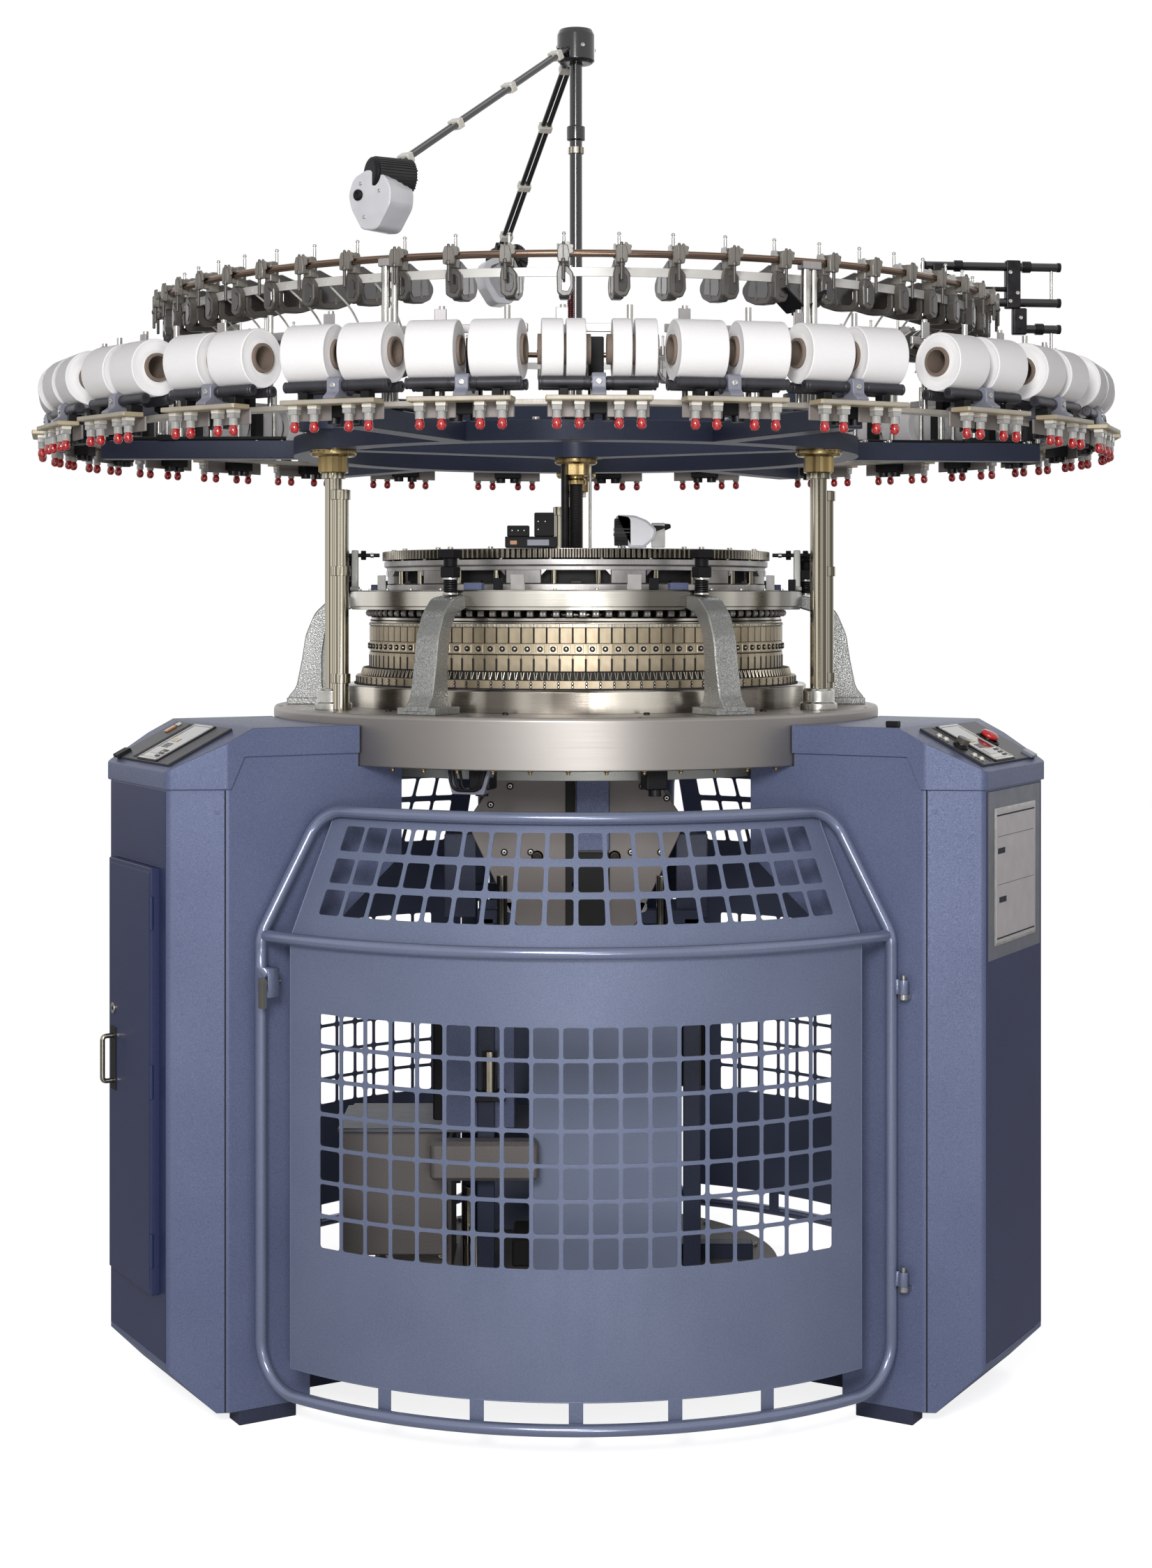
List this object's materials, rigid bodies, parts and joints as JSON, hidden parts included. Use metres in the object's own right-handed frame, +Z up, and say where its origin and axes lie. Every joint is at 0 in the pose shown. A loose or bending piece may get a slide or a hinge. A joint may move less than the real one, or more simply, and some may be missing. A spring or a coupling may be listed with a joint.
{
  "type": "circular knitting machine",
  "caption": "Large-diameter circular knitting machine: three cabinet legs, bed, needle cylinder and cam ring, dial gear, overhead creel ring, lint blowers and windowed guard gates.",
  "frame": {"origin": "on the floor under the machine's vertical axis", "axes": "+Z up, -Y toward the operator in front of the machine, +X to their right"},
  "size_m": [2.5314, 2.5307, 3.09],
  "materials": {
    "cabinet_paint": "satin metallic",
    "feet_steel": "satin",
    "console_black": "satin",
    "stop_red": "gloss",
    "bed_grey": "satin",
    "polished_steel": "polished",
    "cam_steel": "satin",
    "feeder_dark": "satin",
    "cast_grey": "hammered",
    "gear_steel": "oiled",
    "nut_brass": "turned",
    "column_chrome": "polished",
    "frame_blue": "satin metallic",
    "bracket_grey": "satin",
    "roller_black": "matt",
    "bobbin_white": "wound",
    "core_paper": "matt",
    "lamp_clear": "clear",
    "guide_tube": "drawn",
    "band_white": "satin",
    "clamp_grey": "satin",
    "mast_black": "gloss",
    "head_white": "gloss",
    "takedown_beige": "satin",
    "roller_steel": "turned",
    "turntable_grey": "satin",
    "gate_blue": "satin metallic",
    "chrome": "polished"
  },
  "bodies": {
    "machine": {"base_ring": "polished_steel", "base_spider": "cabinet_paint", "bearing_ring": "bed_grey", "bed_plate": "bed_grey", "bobbin_cores": "core_paper", "bobbins": "bobbin_white", "cam_ring": "cam_steel", "cap_front_left": "cabinet_paint", "cap_front_right": "cabinet_paint", "cap_rear": "cabinet_paint", "centre_spindle": "polished_steel", "columns": "column_chrome", "console_plates": "console_black", "creel_frame": "frame_blue", "creel_rollers": "roller_black", "dial_carrier": "cast_grey", "feeder_ring": "polished_steel", "frame_nuts": "nut_brass", "gate_hinges": "polished_steel", "guide_band": "band_white", "guide_clamps": "clamp_grey", "guide_ring": "guide_tube", "leg_front_left": "cabinet_paint", "leg_front_right": "cabinet_paint", "leg_rear": "cabinet_paint", "levelling_feet": "feet_steel", "mast": "mast_black", "ring_brackets": "cast_grey", "roller_brackets": "bracket_grey", "shaft_bearing": "polished_steel", "side_rack": "mast_black", "stop_lamps": "lamp_clear", "top_frame": "frame_blue", "yarn_feeders": "feeder_dark"},
    "rotor": {"main_gear": "gear_steel", "needle_cylinder": "polished_steel", "takedown_frame": "takedown_beige", "turntable": "turntable_grey"},
    "dial": {"dial_gear": "gear_steel", "needle_dial": "polished_steel"},
    "drive": {"drive_shaft": "polished_steel", "lower_pinion": "gear_steel", "upper_pinion": "gear_steel"},
    "roller_left": {"takedown_roller_left": "roller_steel"},
    "roller_middle": {"takedown_roller_middle": "roller_steel"},
    "roller_right": {"takedown_roller_right": "roller_steel"},
    "blower": {"blower_arms": "mast_black", "blower_heads": "head_white"},
    "door": {"cabinet_door": "cabinet_paint"},
    "stop_button": {"emergency_stop": "stop_red"},
    "knob": {"selector_knob": "console_black"},
    "gate_front": {"gate_front_frame": "gate_blue", "gate_front_sheet": "gate_blue"},
    "latch_front": {"latch_lever_front": "chrome"},
    "gate_right": {"gate_right_frame": "gate_blue", "gate_right_sheet": "gate_blue"},
    "latch_right": {"latch_lever_right": "chrome"},
    "gate_left": {"gate_left_frame": "gate_blue", "gate_left_sheet": "gate_blue"},
    "latch_left": {"latch_lever_left": "chrome"}
  },
  "joints": [
    {"name": "rotor_spin", "type": "hinge", "parent": "machine", "child": "rotor", "pos_m": [0, 0, 1.4], "axis": [0, 0, 1], "continuous": true},
    {"name": "dial_spin", "type": "hinge", "parent": "machine", "child": "dial", "pos_m": [0, 0, 1.836], "axis": [0, 0, 1], "continuous": true},
    {"name": "drive_spin", "type": "hinge", "parent": "machine", "child": "drive", "pos_m": [0.14597, 0.54478, 1.6], "axis": [0, 0, 1], "continuous": true},
    {"name": "roller_left_spin", "type": "hinge", "parent": "rotor", "child": "roller_left", "pos_m": [-0.088, 0, 1.15], "axis": [0, 1, 0], "continuous": true},
    {"name": "roller_middle_spin", "type": "hinge", "parent": "rotor", "child": "roller_middle", "pos_m": [0, 0, 1.087], "axis": [0, 1, 0], "continuous": true},
    {"name": "roller_right_spin", "type": "hinge", "parent": "rotor", "child": "roller_right", "pos_m": [0.088, 0, 1.15], "axis": [0, 1, 0], "continuous": true},
    {"name": "blower_spin", "type": "hinge", "parent": "machine", "child": "blower", "pos_m": [0, 0, 3.06], "axis": [0, 0, 1], "continuous": true},
    {"name": "gate_front_swing", "type": "hinge", "parent": "machine", "child": "gate_front", "pos_m": [0.68483, -0.68984, 0.6], "axis": [0, 0, 1], "range_deg": [0, 100]},
    {"name": "latch_front_turn", "type": "hinge", "parent": "gate_front", "child": "latch_front", "pos_m": [-0.63595, -0.69227, 0.934], "axis": [-0.6828, -0.7306, 0], "range_deg": [0, 90]},
    {"name": "gate_right_swing", "type": "hinge", "parent": "machine", "child": "gate_right", "pos_m": [0.255, 0.938, 0.6], "axis": [0, 0, 1], "range_deg": [0, 100]},
    {"name": "latch_right_turn", "type": "hinge", "parent": "gate_right", "child": "latch_right", "pos_m": [0.91749, -0.20462, 0.934], "axis": [0.9741, -0.226, 0], "range_deg": [0, 90]},
    {"name": "gate_left_swing", "type": "hinge", "parent": "machine", "child": "gate_left", "pos_m": [-0.93983, -0.24816, 0.6], "axis": [0, 0, 1], "range_deg": [0, 100]},
    {"name": "latch_left_turn", "type": "hinge", "parent": "gate_left", "child": "latch_left", "pos_m": [-0.28154, 0.89688, 0.934], "axis": [-0.2914, 0.9566, 0], "range_deg": [0, 90]},
    {"name": "door_swing", "type": "hinge", "parent": "machine", "child": "door", "pos_m": [-0.89212, -0.6698, 0.72], "axis": [0, 0, 1], "range_deg": [0, 110]},
    {"name": "stop_press", "type": "slide", "parent": "machine", "child": "stop_button", "axis": [-0.3926, 0.2267, -0.8914], "range_m": [0, 0.006]},
    {"name": "knob_turn", "type": "hinge", "parent": "machine", "child": "knob", "pos_m": [0.81856, -0.6204, 1.42844], "axis": [0.3926, -0.2267, 0.8914], "range_deg": [-60, 60]}
  ],
  "couplings": [
    {"joint": "dial_spin", "follows": "rotor_spin", "ratio": 1},
    {"joint": "drive_spin", "follows": "rotor_spin", "ratio": -4.2222},
    {"joint": "roller_middle_spin", "follows": "roller_left_spin", "ratio": -1},
    {"joint": "roller_right_spin", "follows": "roller_left_spin", "ratio": 1}
  ]
}
